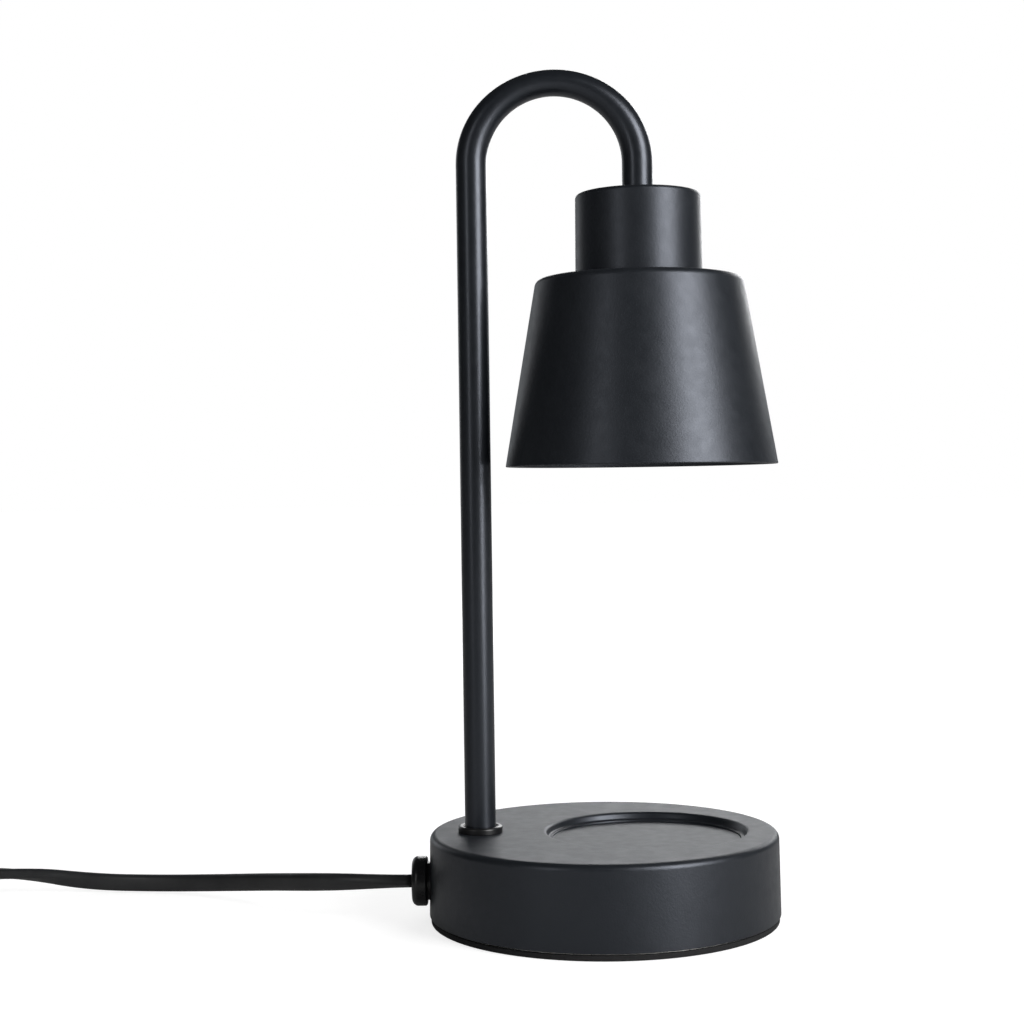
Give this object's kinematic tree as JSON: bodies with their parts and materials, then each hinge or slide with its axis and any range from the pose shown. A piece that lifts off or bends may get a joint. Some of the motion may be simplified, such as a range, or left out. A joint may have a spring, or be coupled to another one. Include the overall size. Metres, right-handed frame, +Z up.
{
  "type": "candle warmer lamp",
  "caption": "Table lamp that melts a jar candle from above: round weighted base with a recess, hooked tube, conical shade, reflector bulb, corded switch and plug.",
  "frame": {"origin": "centre of the foot pad's underside, on the base's axis", "axes": "+Z up along the pole; +X from the pole towards the shade and the candle recess; the cord leaves towards -X"},
  "size_m": [0.4018, 0.1375, 0.2914],
  "materials": {
    "black_coat": "satin black powder coat",
    "black_moulding": "moulded black plastic",
    "cord_sheath": "smooth flat PVC sheath",
    "plated_steel": "zinc plated",
    "cast_weight": "as cast",
    "foot_foam": "closed-cell foam",
    "ceramic": "glazed ceramic",
    "wire_insulation": "plain insulation",
    "contact_brass": "bright",
    "clear_glass": "clear pressed glass",
    "mirror_glass": "vapour-coated glass"
  },
  "bodies": {
    "lamp": {"base_shell": "black_coat", "neck_tube": "black_coat", "pole_collar": "black_coat", "cup": "black_coat", "shade": "black_coat", "cord_bushing": "black_moulding", "switch_base": "black_moulding", "switch_cover": "black_moulding", "plug_body": "black_moulding", "coil_ties": "black_moulding", "holder_cap": "black_moulding", "shade_ring": "black_moulding", "lamp_cord": "cord_sheath", "switch_cord": "cord_sheath", "cord_coil": "cord_sheath", "plug_cord": "cord_sheath", "supply_lead": "cord_sheath", "pole_nipple": "plated_steel", "pole_washer": "plated_steel", "pole_nut": "plated_steel", "head_nipple": "plated_steel", "cup_washer": "plated_steel", "cup_nut": "plated_steel", "base_bolts": "plated_steel", "standoffs": "plated_steel", "holder_screws": "plated_steel", "switch_screws": "plated_steel", "rocker_pin": "plated_steel", "bottom_plate": "plated_steel", "base_weight": "cast_weight", "foot_pad": "foot_foam", "holder_body": "ceramic", "tube_wires": "wire_insulation", "crimp_caps": "wire_insulation", "holder_contacts": "contact_brass", "switch_contacts": "contact_brass", "plug_blades": "contact_brass"},
    "rocker": {"switch_rocker": "black_moulding"},
    "bulb": {"bulb_base": "ceramic", "bulb_pins": "plated_steel", "bulb_reflector": "mirror_glass", "bulb_lens": "clear_glass", "bulb_capsule": "clear_glass"}
  },
  "joints": [
    {"name": "rocker_tilt", "type": "hinge", "parent": "lamp", "child": "rocker", "pos_m": [-0.259, 0.05, 0.0132], "axis": [0, -1, 0], "range_deg": [0, 16]},
    {"name": "bulb_twist", "type": "hinge", "parent": "lamp", "child": "bulb", "pos_m": [0.0146, 0, 0.2115], "axis": [0, 0, 1], "range_deg": [-50, 0]}
  ]
}
